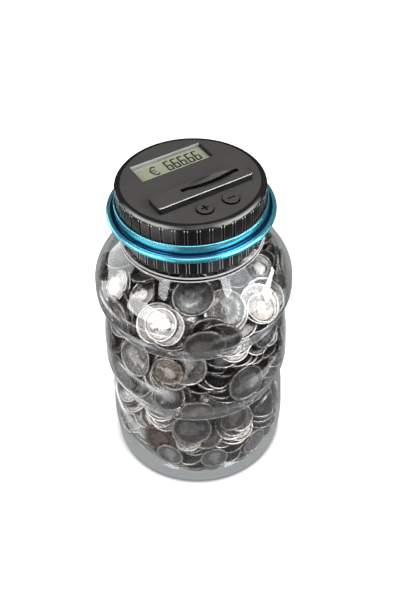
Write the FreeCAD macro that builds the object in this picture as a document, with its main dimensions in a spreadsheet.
import FreeCAD, Part
import Sketcher
import math
import os
from FreeCAD import Vector, Placement, Rotation

# Digital coin counting jar: a clear blown jar with three bulges and a screw
# neck, and a screw-on counting lid.  Millimetres, +Z up.  The origin is the
# centre of the jar's base on the surface it stands on.  The display, the coin
# slot and the two buttons are read from -Y, with +X to the reader's right.

doc = FreeCAD.newDocument("coin_counting_jar")

# ---------------------------------------------------------------- dimensions
DIM = {
    # jar
    "jar_wall": 1.1, "base_ring_inner": 46.4, "base_corner": 54.6,
    "bulge_low": 56.2, "waist_low": 53.2, "waist_low_height": 63.5,
    "bulge_mid": 57.3, "waist_high": 54.2, "waist_high_height": 118.8,
    "bulge_top": 58.9, "bead_radius": 41.4, "bead_low": 167.4, "bead_high": 169.6,
    "neck_outer": 35.5, "neck_inner": 33.9, "rim_height": 184.0,
    "thread_lead": 6.0, "neck_crest": 36.8, "cap_crest": 36.1,
    # lid height levels
    "collar_low": 170.4, "floor_low": 185.2, "floor_high": 187.0,
    "spigot_high": 190.0, "plate_low": 203.0, "plate_high": 205.0,
    "block_high": 209.2, "board_low": 198.2, "board_high": 199.4,
    # lid radii
    "cap_outer": 42.0, "cap_inner": 39.6, "cap_flat": 38.7, "cap_bevel": 41.3,
    "collar_outer": 39.4, "collar_inner": 37.4, "collar_flange": 41.2,
    "rib_count": 40, "rib_gap": 1.3, "rib_depth": 0.6, "rib_turn": 2.0,
    # trim ring
    "ring_bore": 42.2, "ring_collar": 43.3, "ring_brim": 47.7,
    "ring_low": 185.4, "ring_brim_high": 188.6, "ring_high": 194.2,
    # display
    "display_y": 20.5, "window_wide": 43.4, "window_deep": 14.6,
    "glass_wide": 47.0, "glass_deep": 17.0,
    # coin slot
    "slot_x": 6.0, "slot_y": -10.6, "slot_wide": 36.0, "slot_gap": 2.8,
    "block_x": -0.1, "block_y": -11.7, "block_wide": 58.4, "block_deep": 12.8,
    # buttons
    "button_x": 8.1, "button_mid": 1.5, "button_y": 26.2, "button_radius": 4.75,
    "button_top": 206.2, "button_travel": 0.8, "flange_radius": 6.0,
    # sensing lever
    "lever_x": 1.5, "lever_y": 26.0, "lever_reach": 16.3, "lever_rest": 66.0,
    "lever_low": 194.6, "lever_high": 197.3, "lever_pin_radius": 1.2,
    # power
    "cell_radius": 5.25, "cell_long": 44.5, "cell_height": 192.6,
    "cell_front_y": 0.2, "cell_rear_y": 11.4,
    "bay_half": 24.8, "door_axis_y": 16.1, "door_axis_height": 186.5,
}
sheet = doc.addObject("Spreadsheet::Sheet", "Dims")
for row, (alias, number) in enumerate(DIM.items(), start=1):
    sheet.set("A%d" % row, alias.replace("_", " "))
    sheet.set("B%d" % row, str(number))
    sheet.setAlias("B%d" % row, alias)
doc.recompute()


def val(spec):
    """A number, an alias, or (alias, offset)."""
    if isinstance(spec, str):
        return float(DIM[spec])
    if isinstance(spec, tuple):
        return float(DIM[spec[0]]) + spec[1]
    return float(spec)


def expr(spec):
    if isinstance(spec, str):
        return "Dims." + spec
    if isinstance(spec, tuple):
        return "Dims.%s + (%r)" % spec
    return None


def bind(obj, prop, spec):
    setattr(obj, prop, val(spec))
    if expr(spec):
        obj.setExpression(prop, expr(spec))


def put(obj, x=0.0, y=0.0, z=0.0, rot=None):
    obj.Placement = Placement(Vector(val(x), val(y), val(z)), rot or Rotation())
    for axis, spec in (("x", x), ("y", y), ("z", z)):
        if expr(spec):
            obj.setExpression("Placement.Base." + axis, expr(spec))
    return obj


# ------------------------------------------------------------ Part primitives
def box(name, x0, x1, y0, y1, z0, z1):
    """A box between plain x and y numbers; z may be bound to the sheet."""
    b = doc.addObject("Part::Box", name)
    b.Length = x1 - x0
    b.Width = y1 - y0
    b.Height = val(z1) - val(z0)
    e0, e1 = expr(z0) or repr(val(z0)), expr(z1) or repr(val(z1))
    if expr(z0) or expr(z1):
        b.setExpression("Height", "(%s) - (%s)" % (e1, e0))
    return put(b, x0, y0, z0)


def cyl(name, radius, x, y, z0, z1):
    c = doc.addObject("Part::Cylinder", name)
    bind(c, "Radius", radius)
    c.Height = val(z1) - val(z0)
    e0, e1 = expr(z0) or repr(val(z0)), expr(z1) or repr(val(z1))
    if expr(z0) or expr(z1):
        c.setExpression("Height", "(%s) - (%s)" % (e1, e0))
    return put(c, x, y, z0)


def cyl_x(name, radius, x0, x1, y, z):
    c = doc.addObject("Part::Cylinder", name)
    bind(c, "Radius", radius)
    c.Height = x1 - x0
    return put(c, x0, y, z, Rotation(Vector(0, 1, 0), 90))


def cone(name, r0, r1, x, y, z0, z1):
    c = doc.addObject("Part::Cone", name)
    c.Radius1 = r0
    c.Radius2 = r1
    c.Height = val(z1) - val(z0)
    return put(c, x, y, z0)


def cut(name, base, *tools):
    tool = tools[0] if len(tools) == 1 else fuse(name + "_tools", *tools)
    c = doc.addObject("Part::Cut", name)
    c.Base = base
    c.Tool = tool
    return c


def fuse(name, *shapes):
    f = doc.addObject("Part::MultiFuse", name)
    f.Shapes = list(shapes)
    return f


def common(name, *shapes):
    f = doc.addObject("Part::MultiCommon", name)
    f.Shapes = list(shapes)
    return f


def group(name, *shapes):
    """Several separate solids under one name."""
    g = doc.addObject("Part::Compound", name)
    g.Links = list(shapes)
    return g


# ------------------------------------------------------- PartDesign utilities
def new_body(name):
    return doc.addObject("PartDesign::Body", name)


def new_sketch(body, name, role, offset=None):
    sk = body.newObject("Sketcher::SketchObject", name)
    origin = [f for f in body.Origin.OriginFeatures if f.Role == role][0]
    sk.AttachmentSupport = [(origin, "")]
    sk.MapMode = "FlatFace"
    if offset is not None:
        sk.AttachmentOffset = Placement(Vector(0, 0, val(offset)), Rotation())
        if expr(offset):
            sk.setExpression("AttachmentOffset.Base.z", expr(offset))
    return sk


def outline(sk, verts):
    """Closed outline through (x, y, corner radius) vertices.  Every vertex is
    dimensioned from the origin, and every rounded corner is an arc tangent to
    its two sides, so the sketch is fully constrained."""
    n = len(verts)
    P = [Vector(val(a), val(b), 0) for a, b, r in verts]
    T = []
    for i in range(n):
        p0, p, p1, r = P[i - 1], P[i], P[(i + 1) % n], val(verts[i][2])
        if r <= 0:
            T.append((p, p, None))
            continue
        d0 = (p0 - p).normalize()
        d1 = (p1 - p).normalize()
        ang = d0.getAngle(d1)
        t = r / math.tan(ang / 2)
        T.append((p + d0 * t, p + d1 * t,
                  p + (d0 + d1).normalize() * (r / math.sin(ang / 2))))
    lines = [sk.addGeometry(Part.LineSegment(T[i][1], T[(i + 1) % n][0]))
             for i in range(n)]
    cons, specs = [], []

    def add(constraint, spec=None, sign=1):
        cons.append(constraint)
        specs.append((spec, sign))

    for i in range(n):
        a, b, c = T[i]
        before, after = lines[i - 1], lines[i]
        if c is None:
            add(Sketcher.Constraint("Coincident", before, 2, after, 1))
            target = (after, 1)
        else:
            r = val(verts[i][2])
            a0 = math.atan2(a.y - c.y, a.x - c.x)
            a1 = math.atan2(b.y - c.y, b.x - c.x)
            circle = Part.Circle(c, Vector(0, 0, 1), r)
            if (a1 - a0) % (2 * math.pi) < math.pi:
                g = sk.addGeometry(Part.ArcOfCircle(circle, a0, a1))
                s, e = 1, 2
            else:
                g = sk.addGeometry(Part.ArcOfCircle(circle, a1, a0))
                s, e = 2, 1
            add(Sketcher.Constraint("Tangent", before, 2, g, s))
            add(Sketcher.Constraint("Tangent", g, e, after, 1))
            add(Sketcher.Constraint("Radius", g, r), verts[i][2])
            corner = sk.addGeometry(Part.Point(P[i]), True)
            add(Sketcher.Constraint("PointOnObject", corner, 1, before))
            add(Sketcher.Constraint("PointOnObject", corner, 1, after))
            target = (corner, 1)
        for k, spec in enumerate(verts[i][:2]):
            v = val(spec)
            kind = "DistanceX" if k == 0 else "DistanceY"
            if abs(v) < 1e-9:
                add(Sketcher.Constraint("PointOnObject", target[0], target[1],
                                        -2 if k == 0 else -1))
            elif v > 0:
                add(Sketcher.Constraint(kind, -1, 1, target[0], target[1], v), spec)
            else:
                add(Sketcher.Constraint(kind, target[0], target[1], -1, 1, -v),
                    spec, -1)
    sk.addConstraint(cons)
    for k, (spec, sign) in enumerate(specs):
        if expr(spec):
            e = expr(spec)
            sk.setExpression("Constraints[%d]" % k, e if sign > 0 else "-(%s)" % e)


def revolve(body, name, verts, groove=False):
    sk = new_sketch(body, name + "_profile", "XZ_Plane")
    outline(sk, verts)
    kind = "PartDesign::Groove" if groove else "PartDesign::Revolution"
    f = body.newObject(kind, name)
    f.Profile = sk
    f.ReferenceAxis = (sk, ["V_Axis"])
    f.Angle = 360
    doc.recompute()
    return f


def pad(body, name, verts, z0, z1):
    sk = new_sketch(body, name + "_outline", "XY_Plane", z0)
    outline(sk, verts)
    f = body.newObject("PartDesign::Pad", name)
    f.Profile = sk
    f.Length = val(z1) - val(z0)
    e0, e1 = expr(z0) or repr(val(z0)), expr(z1) or repr(val(z1))
    if expr(z0) or expr(z1):
        f.setExpression("Length", "(%s) - (%s)" % (e1, e0))
    doc.recompute()
    return f


def rib_gaps(body, name, outer, z0, z1):
    """Narrow upright gaps all round a wall, leaving flat ribs between them."""
    sk = new_sketch(body, name + "_outline", "XY_Plane", z0)
    sk.AttachmentOffset = Placement(Vector(0, 0, val(z0)),
                                    Rotation(Vector(0, 0, 1), val("rib_turn")))
    half = val("rib_gap") / 2
    outline(sk, [((outer[0], outer[1]), -half, 0), ((outer[0], 3.0), -half, 0),
                 ((outer[0], 3.0), half, 0), ((outer[0], outer[1]), half, 0)])
    before = body.Shape.Volume
    f = body.newObject("PartDesign::Pocket", name)
    f.Profile = sk
    f.Length = val(z1) - val(z0)
    f.Reversed = True
    doc.recompute()
    one = before - body.Shape.Volume
    pattern = body.newObject("PartDesign::PolarPattern", name + "_round")
    pattern.Originals = [f]
    origin = [o for o in body.Origin.OriginFeatures if o.Role == "Z_Axis"][0]
    pattern.Axis = (origin, [""])
    pattern.Angle = 360
    pattern.Occurrences = int(val("rib_count"))
    pattern.setExpression("Occurrences", "Dims.rib_count")
    body.Tip = pattern
    doc.recompute()
    every = before - body.Shape.Volume
    print(name, "one gap", round(one, 3), "all gaps", round(every, 3))
    if one <= 0 or abs(every - one * val("rib_count")) > 0.02 * every:
        raise RuntimeError(name + ": the gaps were not all cut")


def thread(name, crest, root, height, start_angle, start_z):
    """One ridge on a right-hand helix.  The flanks run from the root, inside
    the wall, to the narrow crest."""
    lead = val("thread_lead")
    h = Part.makeHelix(lead, height, root)
    out = 1.0 if crest > root else -1.0
    ring = [Vector(root - 0.3 * out, 0, -1.45), Vector(crest, 0, -0.6),
            Vector(crest, 0, 0.6), Vector(root - 0.3 * out, 0, 1.45)]
    ridge = Part.Wire(h.Edges).makePipeShell([Part.makePolygon(ring + ring[:1])],
                                             True, True)
    f = doc.addObject("Part::Feature", name)
    f.Shape = ridge
    f.Placement = Placement(Vector(0, 0, start_z),
                            Rotation(Vector(0, 0, 1), start_angle))
    return f


parts = []


def keep(obj, label):
    obj.Label = label
    parts.append((obj, label))
    return obj


# ------------------------------------------------------------------ jar_body
# Outside from the middle of the base: a push-up, the ring it stands on, a
# rounded corner, three bulges with a sharp waist between each pair, the
# shoulder, the bead under the cap, and the neck.
outer = [
    (0, 3.4, 0), (42.4, 3.4, 3.0), ("base_ring_inner", 0, 1.5),
    ("base_corner", 0, 5.0), ("bulge_low", 21, 40), (55.2, 46, 50),
    ("waist_low", "waist_low_height", 1.2), ("bulge_mid", 74.5, 14),
    (56.8, 94, 45), ("waist_high", "waist_high_height", 1.2),
    ("bulge_top", 130, 12), (58.5, 142.8, 20), (50.5, 156.4, 40),
    ("bead_radius", "bead_low", 0.7), ("bead_radius", "bead_high", 0.5),
    ("neck_outer", "bead_high", 0.4), ("neck_outer", "rim_height", 0.5),
    (0, "rim_height", 0),
]


def inset(verts, wall):
    """The same outline moved into the wall, square to each side."""
    P = [Vector(val(a), val(b), 0) for a, b, r in verts]
    out = []
    for i in range(1, len(P) - 1):
        d0 = (P[i] - P[i - 1]).normalize()
        d1 = (P[i + 1] - P[i]).normalize()
        n0 = Vector(-d0.y, d0.x, 0)
        n1 = Vector(-d1.y, d1.x, 0)
        p = P[i] + (n0 + n1) * (wall / (1 + n0.dot(n1)))
        turn = d0.x * d1.y - d0.y * d1.x
        r = val(verts[i][2])
        r = max(r - wall, 0.5) if turn > 0 else r + wall
        out.append((round(p.x, 4), round(p.y, 4), r))
    return out


wall = val("jar_wall")
inner = [(0, 3.4 + wall, 0)] + inset(outer[:14], wall)
(sx, sy, sr), (bx, by) = inner[-1], (val("bead_radius"), val("bead_low"))
ox, oy = val(outer[12][0]), val(outer[12][1])
slope = Vector(bx - ox, by - oy, 0).normalize()
top_z = 167.0
top_r = sx + slope.x * (top_z - sy) / slope.y
inner += [(round(top_r, 4), top_z, 1.0), ("neck_inner", 168.4, 1.0),
          ("neck_inner", ("rim_height", 4.0), 0), (0, ("rim_height", 4.0), 0)]

jar = new_body("jar_blank")
revolve(jar, "jar_outside", outer)
solid_volume = jar.Shape.Volume
revolve(jar, "jar_inside", inner, groove=True)
print("jar: plastic", round(jar.Shape.Volume / 1000, 1), "cm3, holds",
      round((solid_volume - jar.Shape.Volume) / 1000), "cm3")
if jar.Shape.Volume > 0.1 * solid_volume:
    raise RuntimeError("the jar was not hollowed")
neck_thread = thread("neck_thread", val("neck_crest"), 35.2, 9.0, 0, 173.0)
jar_body = keep(fuse("jar_fused", jar, neck_thread), "jar_body")

# ----------------------------------------------------------------- neck_seal
seal = new_body("seal_blank")
revolve(seal, "seal_ring", [(34.0, "rim_height", 0.3), (35.9, "rim_height", 0.3),
                            (35.9, "floor_low", 0.3), (34.0, "floor_low", 0.3)])
keep(seal, "neck_seal")

# ----------------------------------------------------------------- trim_ring
# Collar round the cap, a small groove, and a rounded brim; a lip below is
# held between the two halves of the lid.
ring = new_body("ring_blank")
revolve(ring, "ring_section", [
    ("cap_inner", "ring_low", 0), (46.5, "ring_low", 0.8),
    ("ring_brim", 186.5, 0.9), ("ring_brim", 187.6, 0.9),
    (46.7, "ring_brim_high", 0.9), (44.7, "ring_brim_high", 0.7),
    (43.95, 187.7, 0.35), ("ring_collar", 188.5, 0.25),
    ("ring_collar", "ring_high", 0.75), ("ring_bore", "ring_high", 0.25),
    ("ring_bore", "floor_high", 0), ("cap_inner", "floor_high", 0)])
keep(ring, "trim_ring")

# ----------------------------------------------------------------- lid_shell
shell = new_body("shell_blank")
revolve(shell, "shell_wall", [
    ("cap_inner", "floor_high", 0), ("cap_outer", "floor_high", 0),
    ("cap_outer", 203.3, 0.5), ("cap_bevel", 204.2, 0.5),
    ("cap_flat", "plate_high", 3.0), (0, "plate_high", 0),
    (0, "plate_low", 0), ("cap_inner", "plate_low", 0.6)])
rib_gaps(shell, "shell_gaps", ("cap_outer", -0.6), 186.0, 204.3)

dy = val("display_y")
hw, hd = val("glass_wide") / 2, val("glass_deep") / 2
pocket_walls = cut("display_pocket",
                   box("pocket_out", -hw - 1.2, hw + 1.2, dy - hd - 1.2, dy + hd + 1.2,
                       199.6, "plate_low"),
                   box("pocket_in", -hw - 0.2, hw + 0.2, dy - hd - 0.2, dy + hd + 0.2,
                       199.0, "plate_low"))
case_spots = [(29.5, 2.5), (-29.5, 2.5), (20.0, -20.5), (-20.0, -20.5)]
board_spots = [(24.0, 5.8), (-24.0, 5.8), (10.0, -17.6), (-10.0, -17.6)]
pillars = [cyl("case_pillar%d" % i, 2.7, x, y, "floor_high", ("plate_low", 0.5))
           for i, (x, y) in enumerate(case_spots)]
pillars += [cyl("board_pillar%d" % i, 1.9, x, y, ("board_high", 0.0), ("plate_low", 0.5))
            for i, (x, y) in enumerate(board_spots)]
shell_all = fuse("shell_fused", shell, pocket_walls, *pillars)

# the display opening narrows a little on its way down to the window
frame = doc.addObject("Part::Wedge", "display_opening")
ww, wd = val("window_wide") / 2, val("window_deep") / 2
frame.Xmin, frame.Xmax, frame.Zmin, frame.Zmax = -ww, ww, -wd, wd
frame.X2min, frame.X2max = -ww - 0.9, ww + 0.9
frame.Z2min, frame.Z2max = -wd - 0.5, wd + 0.5
frame.Ymin, frame.Ymax = 0, 2.0
put(frame, 0, dy, "plate_low", Rotation(Vector(1, 0, 0), 90))
openings = [frame,
            box("tongue_opening", -14.1, 26.1, -13.3, -7.9, 202.5, 205.5)]
for side, s in (("minus", 1), ("plus", -1)):
    openings.append(cyl(side + "_hole", ("button_radius", 0.2),
                        s * val("button_x") + val("button_mid"),
                        -val("button_y"), 202.5, 205.5))
bores = [cyl("case_bore%d" % i, 1.12, x, y, 186.5, 195.5)
         for i, (x, y) in enumerate(case_spots)]
bores += [cyl("board_bore%d" % i, 0.82, x, y, 199.0, 202.4)
          for i, (x, y) in enumerate(board_spots)]
lid_shell = keep(cut("shell_done", shell_all, *(openings + bores)), "lid_shell")

# ---------------------------------------------------------------- slot_block
block = new_body("block_blank")
bx0 = val("block_x") - val("block_wide") / 2
bx1 = val("block_x") + val("block_wide") / 2
by0 = val("block_y") - val("block_deep") / 2
by1 = val("block_y") + val("block_deep") / 2
block_pad = pad(block, "block_pad", [(bx0, by0, 1.6), (bx1, by0, 1.6), (bx1, by1, 1.6),
                                     (bx0, by1, 1.6)], "plate_high", "block_high")
names = []
for k, e in enumerate(block.Shape.Edges, start=1):
    if all(abs(v.Point.z - val("block_high")) < 1e-6 for v in e.Vertexes):
        names.append("Edge%d" % k)
rim = block.newObject("PartDesign::Fillet", "block_rim")
rim.Base = (block_pad, names)
rim.Radius = 0.8
doc.recompute()
tongue = box("block_tongue", -14.0, 26.0, -13.2, -8.0, "plate_low", ("plate_high", 0.5))
sx0 = val("slot_x") - val("slot_wide") / 2
sx1 = val("slot_x") + val("slot_wide") / 2
sy0 = val("slot_y") - val("slot_gap") / 2
sy1 = val("slot_y") + val("slot_gap") / 2
slot = box("slot_cut", sx0, sx1, sy0, sy1, 202.0, 211.0)
# a shallow dish across the slot: a spindle that turns about a line along X,
# 1.6 deep, 30 long and 8.6 wide where it meets the top of the block
dish_up = 5.0
dish_arc = Part.Arc(Vector(-18, 0, -4.28), Vector(0, 0, -6.6), Vector(18, 0, -4.28)).toShape()
dish_wire = Part.Wire([Part.makeLine(Vector(-18, 0, 0), Vector(-18, 0, -4.28)), dish_arc,
                       Part.makeLine(Vector(18, 0, -4.28), Vector(18, 0, 0)),
                       Part.makeLine(Vector(18, 0, 0), Vector(-18, 0, 0))])
scoop = doc.addObject("Part::Feature", "slot_scoop")
scoop.Shape = Part.Face(dish_wire).revolve(Vector(0, 0, 0), Vector(1, 0, 0), 360)
put(scoop, "slot_x", "slot_y", ("block_high", dish_up))
keep(cut("block_done", fuse("block_fused", block, tongue), slot, scoop), "slot_block")

# --------------------------------------------------------- display and boards
keep(box("window_pane", -hw, hw, dy - hd, dy + hd, 202.1, "plate_low"), "lcd_window")
keep(fuse("display_glass",
          box("rear_glass", -hw, hw, dy - hd, dy + hd, 200.4, 201.2),
          box("front_glass", -hw, hw, dy - hd + 1.0, dy + hd, 201.0, 202.0)),
     "lcd_panel")
keep(box("zebra", -22.0, 22.0, 12.3, 13.9, "board_high", 200.4), "zebra_strip")

board_holes = [cyl("main_hole%d" % i, 0.95, x, y, 197.5, 200.0)
               for i, (x, y) in enumerate(board_spots[:2])]
board_holes += [cyl("lead_hole%d" % i, 0.45, 24.5, y, 197.5, 200.0)
                for i, y in enumerate(("cell_front_y", "cell_rear_y"))]
main_blank = common("main_clipped",
                    fuse("main_sheet",
                         box("main_rect", -26.6, 26.6, -6.2, 29.6, "board_low", "board_high"),
                         box("main_tab", 20.0, 30.2, -6.2, -0.6, "board_low", "board_high")),
                    cyl("main_disc", 33.0, 0, 0, 197.0, 201.0))
keep(cut("main_done", main_blank, *board_holes), "main_board")

chip = doc.addObject("Part::Ellipsoid", "chip_dome")
chip.Radius1, chip.Radius2, chip.Radius3 = 1.4, 4.4, 4.4
chip.Angle1, chip.Angle2, chip.Angle3 = 0, 90, 360
put(chip, -4.0, 3.0, "board_high")
keep(chip, "controller_chip")

button_blank = common("button_clipped",
                      box("button_rect", -15.0, 30.5, -33.0, -14.6,
                          "board_low", "board_high"),
                      cyl("button_disc", 33.0, 0, 0, 197.0, 201.0))
keep(cut("button_done", button_blank,
         cyl("pillar_gap", 3.0, 20.0, -20.5, 197.5, 200.0),
         *[cyl("button_hole%d" % i, 0.95, x, y, 197.5, 200.0)
           for i, (x, y) in enumerate(board_spots[2:])]), "button_board")
keep(box("ribbon", 25.8, 29.6, -15.6, -4.4, "board_high", ("board_high", 0.5)),
     "board_link")

# ------------------------------------------------------------------- buttons
for side, s in (("plus", -1), ("minus", 1)):
    x, y = s * val("button_x") + val("button_mid"), -val("button_y")
    b = new_body(side + "_blank")
    revolve(b, side + "_turned", [
        (0, 201.6, 0), ("flange_radius", 201.6, 0), ("flange_radius", 202.8, 0),
        ("button_radius", 202.8, 0), ("button_radius", "button_top", 0.45),
        (0, "button_top", 0)])
    b.Placement = Placement(Vector(x, y, 0), Rotation())
    marks = [box(side + "_bar", x - 2.4, x + 2.4, y - 0.55, y + 0.55, 205.85, 207)]
    if side == "plus":
        marks.append(box("plus_post", x - 0.55, x + 0.55, y - 2.4, y + 2.4, 205.85, 207))
    keep(cut(side + "_done", b, *marks), side + "_button")
    dome = cut(side + "_dome_done",
               cone(side + "_dome_out", 3.4, 2.1, x, y, "board_high", 201.5),
               cone(side + "_dome_in", 2.7, 1.5, x, y, "board_high", 200.9))
    keep(dome, side + "_dome")

# ---------------------------------------------------------------- coin_chute
# Two cheeks a coin's thickness apart, open at both ends, with a window
# through both for the lever to swing in.
keep(cut("chute_done",
         box("chute_block", -13.6, 25.6, -13.4, -7.8, "floor_high", 202.9),
         box("chute_way", -12.4, 24.4, -12.2, -9.0, 186.0, 204.0),
         box("chute_window", -9.8, 13.4, -14.0, -7.0, 193.3, 197.9)), "coin_chute")

# ------------------------------------------------------------- sensing lever
px, py = val("lever_x"), -val("lever_y")
a = math.radians(val("lever_rest"))
turn = Rotation(Vector(0, 0, 1), val("lever_rest"))
ax, ay = math.cos(a), math.sin(a)
arm = doc.addObject("Part::Box", "lever_arm")
bind(arm, "Length", "lever_reach")
arm.Width = 3.2
arm.Height = val("lever_high") - val("lever_low")
arm.setExpression("Height", "Dims.lever_high - Dims.lever_low")
arm.Placement = Placement(Vector(px + ay * 1.6, py - ax * 1.6, val("lever_low")), turn)
tip = cone("lever_tip", 2.1, 1.2, px + ax * val("lever_reach"),
           py + ay * val("lever_reach"), "lever_low", "lever_high")
hub = cyl("lever_hub", 2.9, px, py, 193.8, "lever_high")
keep(cut("lever_done", fuse("lever_fused", arm, tip, hub),
         cyl("lever_bore", ("lever_pin_radius", 0.05), px, py, 193.0, 198.0)),
     "sensing_lever")
keep(fuse("pin_done", cyl("pin_shaft", "lever_pin_radius", px, py, "floor_high", 197.8),
          cyl("pin_head", 2.0, px, py, 197.4, 197.95)), "lever_pin")

# return spring: four turns of wire round the pin, under the lever
coil = Part.Wire(Part.makeHelix(0.7, 2.4, 1.85).Edges).makePipeShell(
    [Part.Wire(Part.makeCircle(0.25, Vector(1.85, 0, 0), Vector(0, 1, 0)))], True, True)
spring = doc.addObject("Part::Feature", "spring_coil")
spring.Shape = coil
spring.Placement = Placement(Vector(px, py, 190.5), Rotation())
wire_length = (2.4 / 0.7) * math.hypot(2 * math.pi * 1.85, 0.7)
print("spring volume", round(coil.Volume, 3), "wire", round(wire_length * math.pi * 0.0625, 3))
keep(spring, "lever_spring")

leaf = doc.addObject("Part::Box", "wiper_leaf")
leaf.Length, leaf.Width, leaf.Height = 5.6, 2.0, 0.22
leaf.Placement = Placement(Vector(px + ax * 4.2 + ay * 1.0, py + ay * 4.2 - ax * 1.0,
                                  val("lever_high")), turn)
heel = doc.addObject("Part::Box", "wiper_heel")
heel.Length, heel.Width, heel.Height = 0.6, 2.0, 0.8
heel.Placement = Placement(Vector(px + ax * 9.2 + ay * 1.0, py + ay * 9.2 - ax * 1.0,
                                  val("lever_high")), turn)
keep(fuse("wiper_done", leaf, heel), "lever_wiper")

# --------------------------------------------------------------------- power
for name, y, s in (("battery_front", "cell_front_y", 1), ("battery_rear", "cell_rear_y", -1)):
    half = val("cell_long") / 2
    can = cyl_x(name + "_can", "cell_radius", -half if s > 0 else -half + 0.9,
                half - 0.9 if s > 0 else half, y, "cell_height")
    nub = cyl_x(name + "_nub", 1.9, half - 1.5 if s > 0 else -half,
                half if s > 0 else -half + 1.5, y, "cell_height")
    keep(fuse(name + "_done", can, nub), name)


def contact_plate(name, x, y0, y1):
    s = 1 if x > 0 else -1
    return box(name, min(x, x + 0.4 * s), max(x, x + 0.4 * s), y0, y1, 187.6, 196.8)


def nub_pad(name, s, y):
    c = doc.addObject("Part::Cone", name)
    c.Radius1, c.Radius2, c.Height = 2.2, 1.3, 24.4 - val("cell_long") / 2
    put(c, s * 24.4, y, "cell_height", Rotation(Vector(0, 1, 0), -90 * s))
    return c


def leaf_spring(name, s, y):
    """A strip bent to a shallow V that presses on the flat end of a cell."""
    zc = val("cell_height")
    path = [(24.4, zc - 3.8), (22.6, zc), (24.4, zc + 3.8), (24.4, zc + 3.2),
            (22.3, zc + 0.1), (22.3, zc - 0.1), (24.4, zc - 3.2)]
    pts = [Vector(s * 24.5, 0, zc - 4.2), Vector(s * 22.28, 0, zc - 0.5),
           Vector(s * 22.28, 0, zc + 0.5), Vector(s * 24.5, 0, zc + 4.2),
           Vector(s * 24.5, 0, zc + 3.6), Vector(s * 22.65, 0, zc + 0.35),
           Vector(s * 22.65, 0, zc - 0.35), Vector(s * 24.5, 0, zc - 3.6)]
    face = Part.Face(Part.makePolygon(pts + pts[:1]))
    f = doc.addObject("Part::Feature", name)
    f.Shape = face.extrude(Vector(0, 5.0, 0))
    f.Placement = Placement(Vector(0, val(y) - 2.5, 0), Rotation())
    return f


link = fuse("link_contact", contact_plate("link_plate", -24.3, -3.3, 14.9),
            nub_pad("link_pad", -1, "cell_rear_y"),
            leaf_spring("link_leaf", -1, "cell_front_y"))
plus_contact = fuse("plus_contact", contact_plate("plus_plate", 24.3, -3.3, 3.7),
                    nub_pad("plus_pad", 1, "cell_front_y"))
minus_contact = fuse("minus_contact", contact_plate("minus_plate", 24.3, 7.9, 14.9),
                     leaf_spring("minus_leaf", 1, "cell_rear_y"))
keep(group("contacts", link, plus_contact, minus_contact), "battery_contacts")
keep(group("leads", *[cyl("lead%d" % i, 0.4, 24.5, y, 196.8, 199.5)
                      for i, y in enumerate(("cell_front_y", "cell_rear_y"))]),
     "battery_leads")

dz = val("door_axis_height")
door_y = val("door_axis_y")
keep(cut("door_done",
         fuse("door_fused",
              box("door_plate", -24.6, 24.6, -5.4, door_y, "floor_low", "floor_high"),
              cyl_x("door_knuckle", 1.1, -24.6, 24.6, "door_axis_y", "door_axis_height"),
              cyl_x("door_pins", 0.7, -25.4, 25.4, "door_axis_y", "door_axis_height")),
         box("door_grip", -5.0, 5.0, -6.0, -3.2, 184.8, 186.0)), "battery_door")

# ------------------------------------------------------------------ lid_base
# Collar with the inner thread, the floor with the battery bay and the coin
# outlet, and the spigot that fits inside the ribbed shell.
base = new_body("base_blank")
revolve(base, "base_section", [
    ("collar_inner", "collar_low", 0.3), ("collar_outer", "collar_low", 0.5),
    ("collar_outer", 184.0, 0), ("collar_flange", 184.0, 0.2),
    ("collar_flange", "ring_low", 0), ("collar_outer", "ring_low", 0),
    ("collar_outer", "spigot_high", 0.3), ("collar_inner", "spigot_high", 0.3),
    ("collar_inner", "floor_high", 0), (0, "floor_high", 0),
    (0, "floor_low", 0), ("collar_inner", "floor_low", 0)])
rib_gaps(base, "base_gaps", ("collar_outer", -0.5), 171.5, 183.4)
bh = val("bay_half")
bay = box("bay_out", -bh - 1.1, bh + 1.1, -6.7, 19.0, ("floor_low", 0.4), 196.5)
boss = cyl("pin_boss", 3.0, px, py, ("floor_low", 0.4), 190.0)
cap_thread = thread("cap_thread", val("cap_crest"), 37.6, 7.5, 120, 172.0)
base_all = fuse("base_fused", base, bay, boss, cap_thread)
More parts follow.
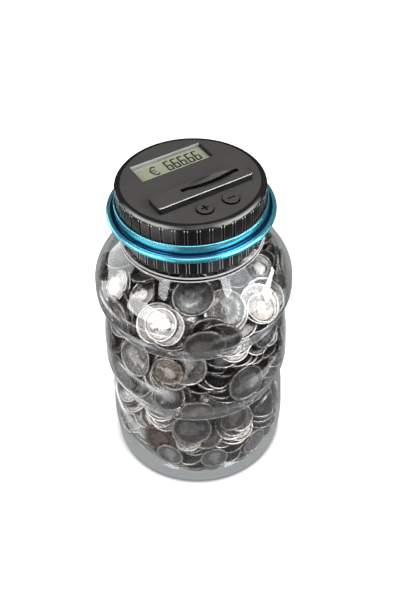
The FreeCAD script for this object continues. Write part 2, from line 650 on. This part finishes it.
cuts = [box("bay_in", -bh, bh, -5.6, 17.9, 184.5, 197.0),
        cyl_x("door_sockets", 0.75, -25.6, 25.6, "door_axis_y", "door_axis_height"),
        cyl("boss_bore", ("lever_pin_radius", 0.02), px, py, "floor_high", 190.5),
        box("coin_outlet", -12.4, 24.4, -12.6, -8.6, 184.5, 187.5)]
cuts += [cyl("case_hole%d" % i, 1.25, x, y, 184.5, 187.5)
         for i, (x, y) in enumerate(case_spots)]
keep(cut("base_done", base_all, *cuts), "lid_base")

# -------------------------------------------------------------------- screws
screws = []
for i, (x, y) in enumerate(case_spots):
    head = cyl("case_head%d" % i, 1.9, x, y, 183.9, "floor_low")
    shank = cyl("case_shank%d" % i, 1.1, x, y, ("floor_low", -0.2), 195.0)
    screws.append(cut("case_screw%d" % i, fuse("case_fused%d" % i, head, shank),
                      box("case_slot_a%d" % i, x - 1.3, x + 1.3, y - 0.25, y + 0.25, 183.5, 184.6),
                      box("case_slot_b%d" % i, x - 0.25, x + 0.25, y - 1.3, y + 1.3, 183.5, 184.6)))
keep(group("case_screw_set", *screws), "case_screws")
screws = []
for i, (x, y) in enumerate(board_spots):
    head = cyl("board_head%d" % i, 1.6, x, y, 197.1, "board_low")
    shank = cyl("board_shank%d" % i, 0.8, x, y, ("board_low", -0.2), 202.0)
    screws.append(fuse("board_screw%d" % i, head, shank))
keep(group("board_screw_set", *screws), "board_screws")

# -------------------------------------------------------------------- export
doc.recompute()
for obj in doc.Objects:
    state = [s for s in obj.State if s in ("Invalid", "Error")]
    if state:
        raise RuntimeError("%s (%s): %s" % (obj.Name, obj.Label, obj.State))
for obj, label in parts:
    shape = obj.Shape
    if shape.isNull() or not shape.isValid() or not shape.Solids or shape.Volume <= 0:
        raise RuntimeError(label + ": no valid solid")
os.makedirs("parts", exist_ok=True)
for obj, label in parts:
    shape = obj.Shape
    shape.exportStep(os.path.join("parts", label + ".step"))
    bb = shape.BoundBox
    print("%-18s solids %d volume %10.2f  z %.2f..%.2f" %
          (label, len(shape.Solids), shape.Volume, bb.ZMin, bb.ZMax))
print(len(parts), "parts")
